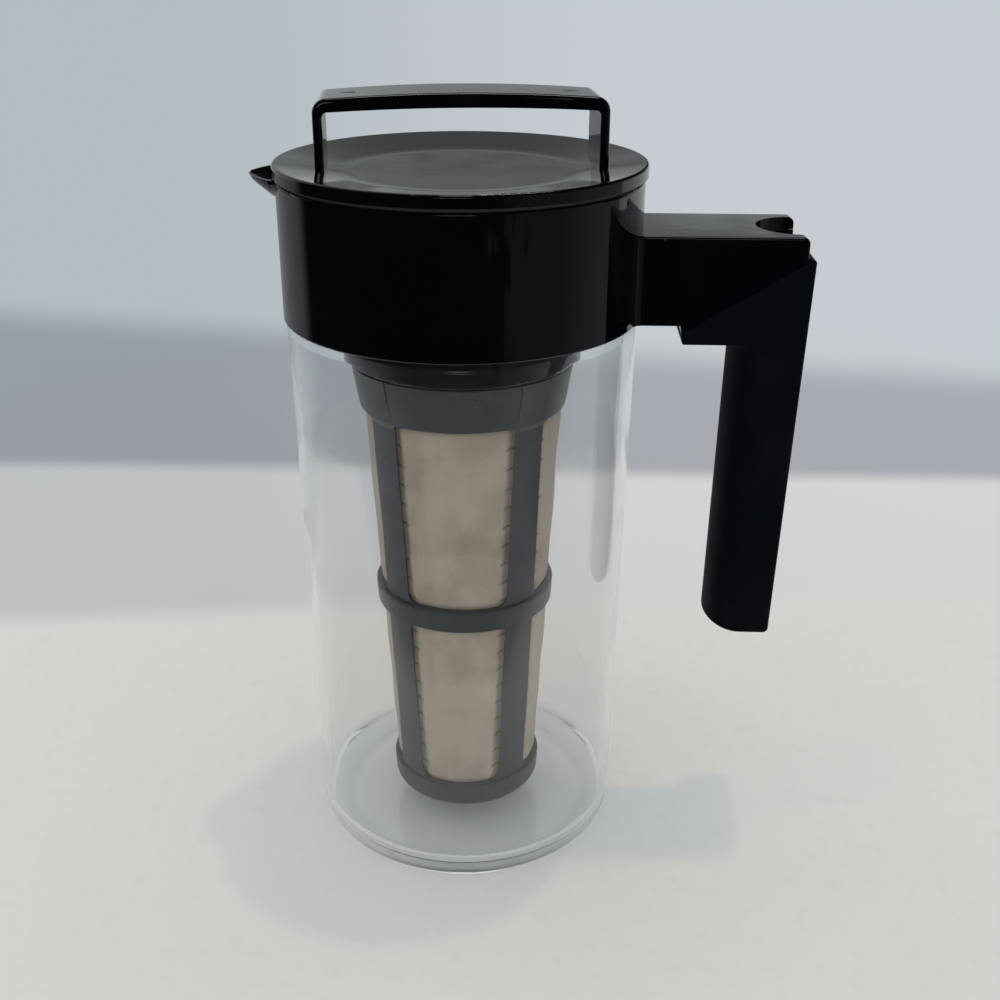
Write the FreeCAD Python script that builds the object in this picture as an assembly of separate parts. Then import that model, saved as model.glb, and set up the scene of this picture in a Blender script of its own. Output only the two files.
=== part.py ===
"""Cold brew coffee maker: a clear jug with a pouring collar, a twist lid and a hanging filter.

All sizes are in millimetres. Z runs up the jug's axis from the middle of its base, +X points
along the arm of the handle and -X along the spout.
"""
import FreeCAD, Part
import math
import os

Vector = FreeCAD.Vector

# ---- clear jug ------------------------------------------------------------------------------
jug_base_radius = 56.4          # outside, where the tapered wall would meet the table
jug_shoulder_radius = 59.4      # outside, just under the collar
jug_shoulder_height = 199.0
jug_wall = 2.4
jug_floor = 4.2
base_corner_radius = 6.4        # outside rounding between wall and base
floor_corner_radius = 8.4       # inside rounding between wall and floor
shoulder_step = 1.6             # how far the neck stands back from the shoulder
neck_wall = 1.6
neck_height = 30.0
neck_rim_rounding = 0.55
throat_height = 3.5             # height of the inside taper below the neck
throat_rounding = 2.5
snap_bead_rise = 0.6            # bead round the neck that the collar clicks over
snap_bead_height = 3.0
snap_bead_level = 12.0          # above the shoulder

# ---- collar with spout ----------------------------------------------------------------------
collar_proud = 0.9              # how far the collar stands out over the jug's shoulder
collar_mouth_height = 14.0      # above the ledge that presses on the rim seal
collar_mouth_wall = 2.7
collar_edge_rounding = 0.7
collar_bore_rounding = 0.35
sleeve_clearance = 0.15         # between the collar's sleeve and the jug's neck
rim_seal_height = 1.4
rim_seal_inset = 0.15
lip_height = 2.2                # ring inside the collar that the lid's lugs turn under
spout_reach = 9.2               # beyond the collar's round face
spout_rise = 0.7                # its rim above the collar's top
spout_half_width = 16.8
spout_root_depth = 7.4
spout_tip_half_width = 1.9
spout_tip_depth = 1.1
spout_root_sink = 4.0           # how far its flanks run on inwards, to meet the curved wall
spout_fullness = 0.65           # below 1, its rim bulges between root and tip
spout_steps = 4                 # stretches between the sections along the bulge
spout_wall = 1.5
spout_tip_wall = 0.7
root_depth = 0.7                # how deep the spout and the arm are rooted in the collar's wall

# ---- handle ---------------------------------------------------------------------------------
arm_half_width = 18.2
arm_rise = 0.6                  # its underside above the collar's bottom
arm_height = 29.4
arm_reach = 51.9                # beyond the collar's round face
arm_end_rounding = 2.3
arm_edge_rounding = 0.8
arm_root_flare = 4.0
arm_root_sink = 0.05            # how far the flare's circle runs inside the collar's face
arm_step_reach = 12.3           # from the collar to the step down to the grip
arm_step_drop = 2.6
step_lean = 0.4
seam_end_drop = 8.0             # from the arm's top to the end of the slanting seam
thumb_notch_radius = 13.5
thumb_notch_inset = 1.5         # from the arm's end face to the notch's centre
thumb_notch_depth = 7.6
thumb_notch_floor_rounding = 4.0
grip_proud = 0.4                # how much wider the grip is than the arm, on each side
grip_drop = 114.9               # from the arm's underside to the grip's foot
grip_toe_drop = 6.2             # from the arm's underside to the grip's toe
grip_toe_rounding = 0.8
grip_cap_overhang = 2.9         # beyond the arm's end face
grip_cap_rise = 1.5
grip_outer_lean = 3.8           # how far the outer face leans in from top to foot
grip_depth_top = 23.3           # from the rounded inner face to the flat outer face
grip_depth_foot = 22.2
grip_inner_bulge = 11.7         # depth of the half oval on the column's inner side
grip_flare = 4.5
grip_flare_steps = 5
grip_edge_rounding = 2.2
grip_foot_rounding = 1.4
core_cover = 3.2                # thickness of the soft sleeve over the post
core_foot_cover = 6.0

# ---- lid ------------------------------------------------------------------------------------
lid_rest_turn = 6.6             # how far past the spout's line the lid stands when it is open
lid_gap = 1.25                  # dark line between the collar and the lid, filled by the gasket
lid_overhang = 0.9              # over the collar's round face
lid_edge_height = 3.95
lid_edge_rounding = 0.9
lid_rim_land = 1.2              # narrow level band round the top of the lid
lid_land_rounding = 0.6
lid_dish_depth = 3.2
lid_dish_slope = 21.8           # width of the slope between the land and the dish's floor
lid_plate = 2.3                 # thickness under the dish's floor
skirt_gap = 1.0                 # between the skirt and the collar's mouth
skirt_wall = 2.2
skirt_foot_gap = 3.4            # between the skirt's foot and the ring that the lugs turn under
skirt_foot_rounding = 0.55
port_half_width = 13.0          # the two pouring ports in the skirt
port_height = 7.2
gasket_clearance = 0.25
gasket_flange_inset = 1.1       # behind the collar's round face
gasket_lip_drop = 3.4
plug_gap = 4.7                  # between the plug and the ring that the lugs turn under
plug_wall = 2.2
plug_depth = 22.1               # below the underside of the cap's plate
plug_corner_rounding = 3.0
lug_angle = 26.0
lug_gap_spare = 3.0             # spare degrees between the ends of a lug and of its gap
lug_height = 2.4
lug_root = 1.1                  # how far a lug runs into the plug's wall
lug_overlap = 1.5               # how far a lug reaches under the ring
lug_side_clearance = 0.5        # between a lug and the jug's neck
lug_clearance = 0.3             # between a lug and the ring above it
socket_radius = 39.5            # outside of the socket that takes the filter
socket_wall = 2.6
socket_depth = 9.4
socket_top_rounding = 3.4
socket_mouth_rounding = 1.2
stem_inset = 4.9                # how far the stem above the socket stands back from it
stem_drop = 38.2                # from the plug's floor to the socket's mouth

# ---- bail -----------------------------------------------------------------------------------
bail_inset = 14.6               # from the lid's edge to the bail's outer face
bail_half_depth = 13.5
bail_rise = 22.1                # above the lid's top edge
bail_crown = 1.5                # how much higher the middle of the bar is than its corners
bail_under_crown = 1.1          # the same along the bar's underside
bail_leg = 3.0
bail_bar = 4.6
bail_corner_radius = 4.6
bail_inner_radius = 1.6
bail_edge_rounding = 1.2
bail_tongue_inset = 4.0         # how much narrower a tongue is than its leg, on each side
bail_tongue_shoulder = 0.5
bail_foot_sink = 0.4            # how far the legs stand in shallow seats in the dished top

# ---- filter ---------------------------------------------------------------------------------
spigot_clearance = 0.3
spigot_step = 1.4               # from the spigot in to the ribs below the top band
rib_taper = 8.1                 # how much narrower the ribs' cage is at the cup than at the band
filter_wall = 1.7
filter_turn_phase = 2.3         # the thread stops with the ribs this far past the diagonals
filter_seal_height = 1.3
filter_seal_inset = 0.2
filter_floor_gap = 6.8          # between the cup and the jug's floor
band_gap = 0.3                  # between the top band and the socket's mouth
band_inset = 0.7                # how far the band stands back from the socket's outside
band_height = 15.5
band_taper = 2.6
band_low_rounding = 1.1
band_shoulder = 2.2             # height of the slope under the band
band_top_rounding = 0.3
lower_window_height = 69.3
mid_ring_height = 8.1
mid_ring_proud = 1.5
mid_ring_rounding = 0.8
cup_height = 10.5
cup_floor = 2.2
cup_proud = 1.1
cup_rim_rounding = 0.55
cup_corner_radius = 4.5
cup_inside_rounding = 1.7
rib_count = 4
rib_width = 12.7
rib_relief = 0.4                # ribs stand this much prouder where they cross the top band
window_top_rounding = 1.6
window_bottom_rounding = 4.4
mesh_thickness = 0.4
mesh_clearance = 0.3
mesh_overlap = 4.0              # how far the mesh runs behind the band and the cup

# ---- modelling aids -------------------------------------------------------------------------
cut_margin = 1.0                # how far a cutter runs past the faces that it cuts
match_tolerance = 0.01          # how near a point lies to a plane to count as on it
point_tolerance = 1e-6          # how near two points lie to count as one

# ---- levels and radii that follow from the sizes above --------------------------------------
neck_radius = jug_shoulder_radius - shoulder_step
neck_bore = neck_radius - neck_wall
neck_top = jug_shoulder_height + neck_height
collar_radius = jug_shoulder_radius + collar_proud
collar_bore = collar_radius - collar_mouth_wall
collar_bottom = jug_shoulder_height
ledge_level = neck_top + rim_seal_height
lip_top = ledge_level + lip_height
collar_top = ledge_level + collar_mouth_height
lug_radius = neck_bore - lug_side_clearance
lip_bore = lug_radius - lug_overlap
spout_top = collar_top + spout_rise
spout_tip_radius = collar_radius + spout_reach
root_radius = collar_radius - root_depth

arm_bottom = collar_bottom + arm_rise
arm_top = arm_bottom + arm_height
arm_end = collar_radius + arm_reach
arm_step = collar_radius + arm_step_reach
seam_start = arm_step + step_lean
seam_start_height = arm_bottom - arm_step_drop
seam_end_height = arm_top - seam_end_drop
grip_half_width = arm_half_width + grip_proud
grip_bottom = arm_bottom - grip_drop
grip_toe_level = arm_bottom - grip_toe_drop
grip_top_corner = arm_end + grip_cap_overhang

lid_radius = collar_radius + lid_overhang
lid_edge_bottom = collar_top + lid_gap
lid_top = lid_edge_bottom + lid_edge_height
lid_dish_floor = lid_top - lid_dish_depth
lid_land_radius = lid_radius - lid_rim_land
lid_dish_floor_radius = lid_land_radius - lid_dish_slope
lid_plate_underside = lid_dish_floor - lid_plate
skirt_radius = collar_bore - skirt_gap
skirt_bottom = lip_top + skirt_foot_gap
plug_radius = lip_bore - plug_gap
plug_floor_level = lid_plate_underside - plug_depth
bail_half_span = lid_radius - bail_inset
bail_top = lid_top + bail_rise
socket_bore = socket_radius - socket_wall
socket_mouth = plug_floor_level - stem_drop
stem_radius = socket_radius - stem_inset
septum_level = socket_mouth + socket_depth

spigot_radius = socket_bore - spigot_clearance
spigot_top = septum_level - filter_seal_height
band_top = socket_mouth - band_gap
band_top_radius = socket_radius - band_inset
band_bottom_radius = band_top_radius - band_taper
rib_top_radius = spigot_radius - spigot_step
rib_low_radius = rib_top_radius - rib_taper
window_top = band_top - band_height
cup_bottom = jug_floor + filter_floor_gap
cup_top = cup_bottom + cup_height
mid_ring_bottom = cup_top + lower_window_height
mid_ring_top = mid_ring_bottom + mid_ring_height
full_turn = 360.0
quarter_turn = 90.0


# ---- helpers --------------------------------------------------------------------------------
def corner(before, at, after, radius):
    """Start, middle and end of the arc that rounds one corner of a flat outline."""
    to_before = (before - at).normalize()
    to_after = (after - at).normalize()
    half_angle = to_before.getAngle(to_after) / 2
    reach = radius / math.tan(half_angle)
    bisector = (to_before + to_after).normalize()
    centre = at + bisector * (radius / math.sin(half_angle))
    return at + to_before * reach, centre - bisector * radius, at + to_after * reach


def outline(points):
    """Closed wire through (point, radius) pairs, with each corner rounded to its radius."""
    places = [point for point, radius in points]
    count = len(points)
    ends = []
    for i, (place, radius) in enumerate(points):
        if radius:
            ends.append(corner(places[i - 1], place, places[(i + 1) % count], radius))
        else:
            ends.append((place, None, place))
    edges = []
    for i, (start, middle, end) in enumerate(ends):
        if middle:
            edges.append(Part.Arc(start, middle, end).toShape())
        following = ends[(i + 1) % count][0]
        if end.distanceToPoint(following) > point_tolerance:
            edges.append(Part.makeLine(end, following))
    return Part.Wire(edges)


def side_points(points):
    """Outline points in the XZ plane from (x, z) or (x, z, radius)."""
    return [(Vector(p[0], 0, p[1]), p[2] if len(p) > 2 else 0) for p in points]


def revolved(points):
    """Solid of revolution about the jug's axis, from its half section in the XZ plane."""
    face = Part.Face(outline(side_points(points)))
    return face.revolve(Vector(0, 0, 0), Vector(0, 0, 1), full_turn)


def plate(points, half_width):
    """An XZ outline, extruded to both sides of the XZ plane."""
    face = Part.Face(outline(side_points(points)))
    face.translate(Vector(0, -half_width, 0))
    return face.extrude(Vector(0, 2 * half_width, 0))


def ring(outer, inner, bottom, top):
    """Plain ring about the jug's axis."""
    return revolved([(inner, bottom), (outer, bottom), (outer, top), (inner, top)])


def sector(outer, inner, bottom, top, middle_angle, angle):
    """Part of a ring, as wide as angle, about the direction middle_angle."""
    half_section = side_points([(inner, bottom), (outer, bottom), (outer, top), (inner, top)])
    piece = Part.Face(outline(half_section)).revolve(Vector(0, 0, 0), Vector(0, 0, 1), angle)
    piece.rotate(Vector(0, 0, 0), Vector(0, 0, 1), middle_angle - angle / 2)
    return piece


def box(x0, x1, y0, y1, z0, z1):
    return Part.makeBox(x1 - x0, y1 - y0, z1 - z0, Vector(x0, y0, z0))


def turned(shape, angle):
    copy = shape.copy()
    copy.rotate(Vector(0, 0, 0), Vector(0, 0, 1), angle)
    return copy


def between(level, low, high):
    """Value at a level on the straight line through two (level, value) pairs."""
    return low[1] + (high[1] - low[1]) * (level - low[0]) / (high[0] - low[0])


def half_oval(centre, side, tip):
    """Half of an oval, from its side through its tip to the opposite side."""
    if side.distanceToPoint(centre) >= tip.distanceToPoint(centre):
        return Part.Arc(Part.Ellipse(side, tip, centre), 0, math.pi).toShape()
    far_side = centre * 2 - side
    return Part.Arc(Part.Ellipse(tip, far_side, centre), -math.pi / 2, math.pi / 2).toShape()


def edges_where(shape, test):
    """Edges whose every end and middle point passes the test."""
    chosen = []
    for edge in shape.Edges:
        middle = edge.valueAt((edge.FirstParameter + edge.LastParameter) / 2)
        points = [vertex.Point for vertex in edge.Vertexes] + [middle]
        if all(test(point) for point in points):
            chosen.append(edge)
    return chosen


def edges_through(shape, test):
    """Edges whose middle point passes the test."""
    middles = [(edge.FirstParameter + edge.LastParameter) / 2 for edge in shape.Edges]
    return [edge for edge, middle in zip(shape.Edges, middles) if test(edge.valueAt(middle))]


def near(value, target):
    return abs(value - target) < match_tolerance


def save(shape, node):
    clean = shape.removeSplitter()
    solid = clean.Solids[0] if len(clean.Solids) == 1 else clean
    assert solid.isValid(), node
    solid.exportStep("parts/" + node + ".step")
    print(node, "solids", len(clean.Solids), "volume", round(solid.Volume))


# ---- jug ------------------------------------------------------------------------------------
def jug_outer_radius(level):
    return between(level, (0, jug_base_radius), (jug_shoulder_height, jug_shoulder_radius))


def jug_body():
    """Clear tapered jug with a thick flat base and a plain neck."""
    throat_bottom = jug_shoulder_height - throat_height
    bead = jug_shoulder_height + snap_bead_level
    inside_low = jug_outer_radius(jug_floor) - jug_wall
    return revolved([
        (0, 0),
        (jug_base_radius, 0, base_corner_radius),
        (jug_shoulder_radius, jug_shoulder_height),
        (neck_radius, jug_shoulder_height),
        (neck_radius, bead - snap_bead_height / 2),
        (neck_radius + snap_bead_rise, bead),
        (neck_radius, bead + snap_bead_height / 2),
        (neck_radius, neck_top, neck_rim_rounding),
        (neck_bore, neck_top, neck_rim_rounding),
        (neck_bore, jug_shoulder_height, throat_rounding),
        (jug_outer_radius(throat_bottom) - jug_wall, throat_bottom, throat_rounding),
        (inside_low, jug_floor, floor_corner_radius),
        (0, jug_floor),
    ])


def rim_seal():
    """Flat seal ring between the jug's rim and the ledge inside the collar."""
    return ring(neck_radius - rim_seal_inset, neck_bore + rim_seal_inset, neck_top, ledge_level)


# ---- collar, spout and arm ------------------------------------------------------------------
def collar_ring():
    sleeve_bore = neck_radius + sleeve_clearance
    bead = jug_shoulder_height + snap_bead_level
    return revolved([
        (sleeve_bore, collar_bottom),
        (collar_radius, collar_bottom, collar_edge_rounding),
        (collar_radius, collar_top, collar_edge_rounding),
        (collar_bore, collar_top, collar_bore_rounding),
        (collar_bore, lip_top),
        (lip_bore, lip_top),
        (lip_bore, ledge_level),
        (sleeve_bore, ledge_level),
        (sleeve_bore, bead + snap_bead_height / 2),
        (sleeve_bore + snap_bead_rise, bead),
        (sleeve_bore, bead - snap_bead_height / 2),
    ])


def spout_section(x, half_width, depth):
    """Half oval across the spout, hanging from the level of its rim."""
    side = Vector(-x, half_width, spout_top)
    far_side = Vector(-x, -half_width, spout_top)
    oval = half_oval(Vector(-x, 0, spout_top), side, Vector(-x, 0, spout_top - depth))
    return Part.Wire([oval, Part.makeLine(far_side, side)])


def spout_sections(wall, tip_wall):
    """Sections along the spout from its root to its tip, each smaller by the wall's thickness."""
    first_half_width = spout_half_width - wall
    first_depth = spout_root_depth - wall
    last_half_width = spout_tip_half_width - tip_wall
    last_depth = spout_tip_depth - tip_wall
    sections = []
    for step in range(spout_steps + 1):
        share = step / spout_steps
        bulge = (1 - share) ** spout_fullness
        sections.append(spout_section(collar_radius + spout_reach * share,
                                      between(bulge, (0, last_half_width), (1, first_half_width)),
                                      between(share, (0, first_depth), (1, last_depth))))
    return sections


def spout_outside():
    """Solid beak, from beyond the collar's curved wall to the tip."""
    root = spout_section(collar_radius - spout_root_sink, spout_half_width, spout_root_depth)
    return Part.makeLoft([root] + spout_sections(0, 0), True, True)


def spout_channel():
    """The hollow of the spout, carried on past its tip and through the collar's wall."""
    root = spout_section(plug_radius, spout_half_width - spout_wall, spout_root_depth - spout_wall)
    past_tip = spout_section(spout_tip_radius + cut_margin, spout_tip_half_width - spout_tip_wall,
                             spout_tip_depth - spout_tip_wall)
    return Part.makeLoft([root] + spout_sections(spout_wall, spout_tip_wall) + [past_tip],
                         True, True)


def seam_height(x):
    """Height of the slanting seam between the glossy arm and the matt grip."""
    return between(x, (seam_start, seam_start_height), (arm_end, seam_end_height))


def arm_plan():
    """Arm seen from above, with its sides flared into the collar's round face."""
    circle = collar_radius - arm_root_sink
    flare_y = arm_half_width + arm_root_flare
    flare_x = math.sqrt((circle + arm_root_flare) ** 2 - flare_y ** 2)
    share = circle / (circle + arm_root_flare)
    on_circle = Vector(flare_x * share, flare_y * share, 0)
    half_way = (on_circle + Vector(flare_x, arm_half_width, 0)) * 0.5
    flare_centre = Vector(flare_x, flare_y, 0)
    belly = flare_centre + (half_way - flare_centre).normalize() * arm_root_flare
    inside = Vector(on_circle.x - cut_margin, on_circle.y, 0)
    line_start = Vector(flare_x, arm_half_width, 0)
    line_end = Vector(arm_end, arm_half_width, 0)

    def mirrored(point):
        return Vector(point.x, -point.y, 0)

    edges = [
        Part.makeLine(inside, on_circle),
        Part.Arc(on_circle, belly, line_start).toShape(),
        Part.makeLine(line_start, line_end),
        Part.makeLine(line_end, mirrored(line_end)),
        Part.makeLine(mirrored(line_end), mirrored(line_start)),
        Part.Arc(mirrored(line_start), mirrored(belly), mirrored(on_circle)).toShape(),
        Part.makeLine(mirrored(on_circle), mirrored(inside)),
        Part.makeLine(mirrored(inside), inside),
    ]
    plan = Part.Face(Part.Wire(edges))
    plan.translate(Vector(0, 0, seam_start_height))
    return plan.extrude(Vector(0, 0, arm_top - seam_start_height))


def thumb_notch():
    """Round-bottomed notch in the arm's end, where the thumb rests."""
    floor = arm_top - thumb_notch_depth
    tool = Part.makeCylinder(thumb_notch_radius, 2 * thumb_notch_depth,
                             Vector(arm_end - thumb_notch_inset, 0, floor))
    rim = edges_where(tool, lambda p: near(p.z, floor))
    return tool.makeFillet(thumb_notch_floor_rounding, rim)


def arm():
    """Glossy arm of the handle, down to the slanting seam."""
    side = plate([
        (0, arm_bottom),
        (arm_step, arm_bottom),
        (seam_start, seam_start_height),
        (arm_end, seam_end_height),
        (arm_end, arm_top, arm_end_rounding),
        (0, arm_top),
    ], 2 * arm_half_width)
    block = arm_plan().common(side)

    def on_top_or_end(p):
        at_end = (p.x > arm_end - arm_end_rounding - match_tolerance
                  and p.z > seam_end_height - match_tolerance)
        on_side = abs(p.y) > arm_half_width - match_tolerance
        clear_of_bore = p.x > collar_bore + match_tolerance
        return on_side and clear_of_bore and (near(p.z, arm_top) or at_end)

    return block.makeFillet(arm_edge_rounding, edges_where(block, on_top_or_end))


def grip_outer_x(level):
    return between(level, (grip_bottom, grip_top_corner - grip_outer_lean),
                   (seam_end_height, grip_top_corner))


def grip_inner_x(level):
    return between(level, (grip_bottom, grip_outer_x(grip_bottom) - grip_depth_foot),
                   (grip_toe_level, grip_outer_x(grip_toe_level) - grip_depth_top))


def core():
    """Stiff post inside the grip, moulded on the arm."""
    inner_top = grip_inner_x(grip_toe_level) + grip_inner_bulge - core_cover
    inner_bottom = grip_inner_x(grip_bottom) + grip_inner_bulge - core_cover
    foot = grip_bottom + core_foot_cover
    shoulder = arm_end - core_cover
    return plate([
        (inner_bottom, foot),
        (grip_outer_x(foot) - core_cover, foot),
        (shoulder, grip_toe_level),
        (shoulder, seam_height(shoulder) + core_cover),
        (inner_top, seam_height(inner_top) + core_cover),
    ], grip_half_width - core_cover)


def collar():
    """Collar with its spout, the lid's locking ring, the arm and the post for the grip."""
    hollow = Part.makeCylinder(root_radius, 2 * collar_top)
    body = collar_ring().fuse([spout_outside().cut(hollow), arm().cut(hollow), core()])
    body = body.cut(spout_channel()).cut(thumb_notch())
    for side in (quarter_turn, -quarter_turn):
        gap = sector(lug_radius + lug_side_clearance, lip_bore - cut_margin,
                     ledge_level - cut_margin, lip_top + cut_margin,
                     side + lid_rest_turn / 2, lug_angle + lid_rest_turn + lug_gap_spare)
        body = body.cut(gap)
    return body


# ---- grip -----------------------------------------------------------------------------------
def column_section(level, flare):
    """Outline of the grip's column: half oval towards the jug, flat on the outside."""
    inner = grip_inner_x(level) - flare
    middle = grip_inner_x(level) + grip_inner_bulge
    outer = grip_outer_x(level)
    start = Vector(middle, grip_half_width, level)
    end = Vector(middle, -grip_half_width, level)
    far_start = Vector(outer, grip_half_width, level)
    far_end = Vector(outer, -grip_half_width, level)
    return Part.Wire([
        half_oval(Vector(middle, 0, level), start, Vector(inner, 0, level)),
        Part.makeLine(end, far_end),
        Part.makeLine(far_end, far_start),
        Part.makeLine(far_start, start),
    ])


def column():
    """Straight column of the grip, with a soft flare up to the toe."""
    flare_bottom = grip_toe_level - grip_flare
    straight = Part.makeLoft([column_section(grip_bottom, 0), column_section(flare_bottom, 0)],
                             True, True)
    sections = []
    for step in range(grip_flare_steps + 1):
        angle = math.radians(quarter_turn) * step / grip_flare_steps
        level = flare_bottom + grip_flare * math.sin(angle)
        sections.append(column_section(level, grip_flare * (1 - math.cos(angle))))
    return straight.fuse(Part.makeLoft(sections, True, True))


def handle_grip():
    """Soft grip moulded over the post and the lower corner of the arm."""
    wedge = plate([
        (seam_start, seam_start_height),
        (seam_start + step_lean, grip_toe_level, grip_toe_rounding),
        (grip_outer_x(grip_toe_level), grip_toe_level),
        (grip_top_corner, seam_end_height, grip_toe_rounding),
        (arm_end, seam_end_height + grip_cap_rise),
        (arm_end, seam_end_height),
    ], grip_half_width)
    body = wedge.fuse(column()).removeSplitter()

    def on_outer_corner(p):
        outer = grip_outer_x(p.z)
        return near(p.x, outer) and abs(p.y) > grip_half_width - match_tolerance

    body = body.makeFillet(grip_edge_rounding, edges_where(body, on_outer_corner))
    foot = edges_where(body, lambda p: near(p.z, grip_bottom))
    body = body.makeFillet(grip_foot_rounding, foot)
    return body.cut(core())


# ---- lid ------------------------------------------------------------------------------------
def cap_solid():
    return revolved([
        (0, lid_dish_floor),
        (lid_dish_floor_radius, lid_dish_floor, lid_dish_floor_radius),
        (lid_land_radius, lid_top, lid_land_rounding),
        (lid_radius, lid_top, lid_edge_rounding),
        (lid_radius, lid_edge_bottom),
        (skirt_radius, lid_edge_bottom),
        (skirt_radius, skirt_bottom, skirt_foot_rounding),
        (skirt_radius - skirt_wall, skirt_bottom, skirt_foot_rounding),
        (skirt_radius - skirt_wall, lid_plate_underside),
        (0, lid_plate_underside),
    ])


def lid_cap():
    """Dished disc with a skirt, two pouring ports and seats for the bail."""
    ports = box(-lid_radius, lid_radius, -port_half_width, port_half_width,
                skirt_bottom - cut_margin, skirt_bottom + port_height)
    ports = ports.cut(box(-plug_radius, plug_radius, -lid_radius, lid_radius, 0, lid_top))
    return cap_solid().cut(ports).cut(lid_bail())


def bail_arch():
    """Side view of the bail: a flat strap bent into an arch with a slightly crowned bar."""
    corner_top = bail_top - bail_crown
    bar_corner = bail_top - bail_bar - bail_under_crown
    inside = bail_half_span - bail_leg
    foot = lid_plate_underside
    outer_start = Vector(-bail_half_span, 0, foot)
    outer_end = Vector(bail_half_span, 0, foot)
    shoulder = bail_half_span - bail_corner_radius
    lean = bail_corner_radius * (1 - math.sqrt(0.5))
    low = corner_top - bail_corner_radius
    left_low = Vector(-bail_half_span, 0, low)
    left_mid = Vector(-bail_half_span + lean, 0, corner_top - lean)
    left_top = Vector(-shoulder, 0, corner_top)
    crown = Vector(0, 0, bail_top)

    def mirrored(point):
        return Vector(-point.x, 0, point.z)

    inner_lean = bail_inner_radius * (1 - math.sqrt(0.5))
    under_end = Vector(-inside + bail_inner_radius, 0, bar_corner)
    inner_mid = Vector(-inside + inner_lean, 0, bar_corner - inner_lean)
    inner_low = Vector(-inside, 0, bar_corner - bail_inner_radius)
    under_crown = Vector(0, 0, bail_top - bail_bar)
    inner_foot = Vector(-inside, 0, foot)
    return Part.Wire([
        Part.makeLine(outer_start, left_low),
        Part.Arc(left_low, left_mid, left_top).toShape(),
        Part.Arc(left_top, crown, mirrored(left_top)).toShape(),
        Part.Arc(mirrored(left_top), mirrored(left_mid), mirrored(left_low)).toShape(),
        Part.makeLine(mirrored(left_low), outer_end),
        Part.makeLine(outer_end, mirrored(inner_foot)),
        Part.makeLine(mirrored(inner_foot), mirrored(inner_low)),
        Part.Arc(mirrored(inner_low), mirrored(inner_mid), mirrored(under_end)).toShape(),
        Part.Arc(mirrored(under_end), under_crown, under_end).toShape(),
        Part.Arc(under_end, inner_mid, inner_low).toShape(),
        Part.makeLine(inner_low, inner_foot),
        Part.makeLine(inner_foot, outer_start),
    ])


def dish_level(radius):
    return between(radius, (lid_dish_floor_radius, lid_dish_floor), (lid_land_radius, lid_top))


def lid_bail():
    """Fixed bail: two legs and a bar in one strap, with tongues that pass through the cap."""
    face = Part.Face(bail_arch())
    face.translate(Vector(0, -bail_half_depth, 0))
    strap = face.extrude(Vector(0, 2 * bail_half_depth, 0))

    def on_long_side(p):
        return near(abs(p.y), bail_half_depth) and not near(p.z, lid_plate_underside)

    strap = strap.makeFillet(bail_edge_rounding, edges_through(strap, on_long_side))
    foot_level = dish_level(bail_half_span - bail_leg) - bail_foot_sink
    reach = 2 * bail_half_span
    inner = bail_half_span - bail_leg + bail_tongue_shoulder
    outer = bail_half_span - bail_tongue_shoulder
    low = box(-reach, reach, -reach, reach, lid_plate_underside, foot_level)
    tongue_half_depth = bail_half_depth - bail_tongue_inset
    keep = box(inner, outer, -tongue_half_depth, tongue_half_depth, 0, foot_level)
    tongues = keep.fuse(keep.mirror(Vector(0, 0, 0), Vector(1, 0, 0)))
    return strap.cut(low.cut(tongues))


def lid_gasket():
    """Soft ring under the lid's edge, with a lip that hangs into the collar's bore."""
    inner = skirt_radius + gasket_clearance
    lip_outer = collar_bore - gasket_clearance
    flange_radius = collar_radius - gasket_flange_inset
    return revolved([
        (inner, collar_top - gasket_lip_drop),
        (lip_outer, collar_top - gasket_lip_drop),
        (lip_outer, collar_top),
        (flange_radius, collar_top),
        (flange_radius, lid_edge_bottom),
        (inner, lid_edge_bottom),
    ])


def lid_plug():
    """Hollow plug under the cap: locking lugs at the top, the filter's socket at the bottom."""
    inside = plug_radius - plug_wall
    stem_inside = stem_radius - plug_wall
    shoulder = plug_floor_level + plug_wall
    septum_top = septum_level + plug_wall
    body = revolved([
        (inside, lid_plate_underside),
        (inside, shoulder),
        (stem_inside, shoulder),
        (stem_inside, septum_top),
        (0, septum_top),
        (0, septum_level),
        (socket_bore, septum_level),
        (socket_bore, socket_mouth),
        (socket_radius, socket_mouth, socket_mouth_rounding),
        (socket_radius, septum_top, socket_top_rounding),
        (stem_radius, septum_top),
        (stem_radius, plug_floor_level, plug_corner_rounding),
        (plug_radius, plug_floor_level, plug_corner_rounding),
        (plug_radius, lid_plate_underside),
    ])
    lug_top = ledge_level - lug_clearance
    for side in (quarter_turn, -quarter_turn):
        lug = sector(lug_radius, plug_radius - lug_root, lug_top - lug_height, lug_top,
                     side, lug_angle)
        body = body.fuse(lug)
    return body


# ---- filter ---------------------------------------------------------------------------------
def rib_radius(level):
    return between(level, (cup_top, rib_low_radius), (window_top, rib_top_radius))


def filter_bore(level):
    return rib_radius(level) - filter_wall


def filter_seal():
    """Soft washer between the filter's upper rim and the lid."""
    return ring(spigot_radius - filter_seal_inset, filter_bore(spigot_top) + filter_seal_inset,
                spigot_top, septum_level)


def window(bottom, top):
    """Cutter for one row of windows: a rounded panel between two ribs, facing +X."""
    def half_chord(level):
        radius = rib_radius(level)
        angle = math.radians(quarter_turn / 2) - math.asin(rib_width / (2 * radius))
        return radius * math.sin(angle)

    low = half_chord(bottom)
    high = half_chord(top)
    start = rib_low_radius / 2
    panel = outline([
        (Vector(start, -low, bottom), window_bottom_rounding),
        (Vector(start, low, bottom), window_bottom_rounding),
        (Vector(start, high, top), window_top_rounding),
        (Vector(start, -high, top), window_top_rounding),
    ])
    return Part.Face(panel).extrude(Vector(band_top_radius, 0, 0))


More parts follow.
